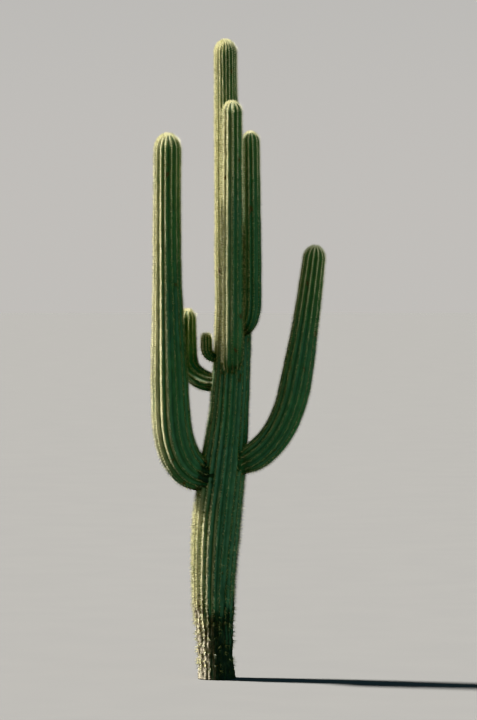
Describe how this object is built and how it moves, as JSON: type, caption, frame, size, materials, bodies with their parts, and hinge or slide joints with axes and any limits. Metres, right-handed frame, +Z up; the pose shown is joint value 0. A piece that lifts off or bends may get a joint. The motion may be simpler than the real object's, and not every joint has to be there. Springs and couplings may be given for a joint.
{
  "type": "saguaro cactus",
  "caption": "Tall ribbed saguaro cactus: a slightly leaning trunk on a flat ground cut, with arms of several lengths that leave it sideways, turn up and end in domed tips.",
  "frame": {"origin": "centre of the flat cut under the trunk, at ground level", "axes": "+Z up. The left and right arms spread along X. The two slender arms in front stand towards -Y, which faces the picture's camera, and a short arm stands behind the left one."},
  "size_m": [2.1701, 0.9473, 8],
  "materials": {
    "trunk_skin": "satin",
    "arm_skin": "satin",
    "sprout_skin": "satin",
    "spine": "satin",
    "areole_wool": "matte"
  },
  "bodies": {
    "root": {"trunk": "trunk_skin", "left_arm_elbow": "arm_skin", "left_arm_column": "arm_skin", "right_arm_elbow": "arm_skin", "right_arm_column": "arm_skin", "front_arm_elbow": "arm_skin", "front_arm_column": "arm_skin", "front_right_arm_elbow": "arm_skin", "front_right_arm_column": "arm_skin", "back_left_arm_elbow": "arm_skin", "back_left_arm_column": "arm_skin", "sprout": "sprout_skin"}
  },
  "joints": []
}
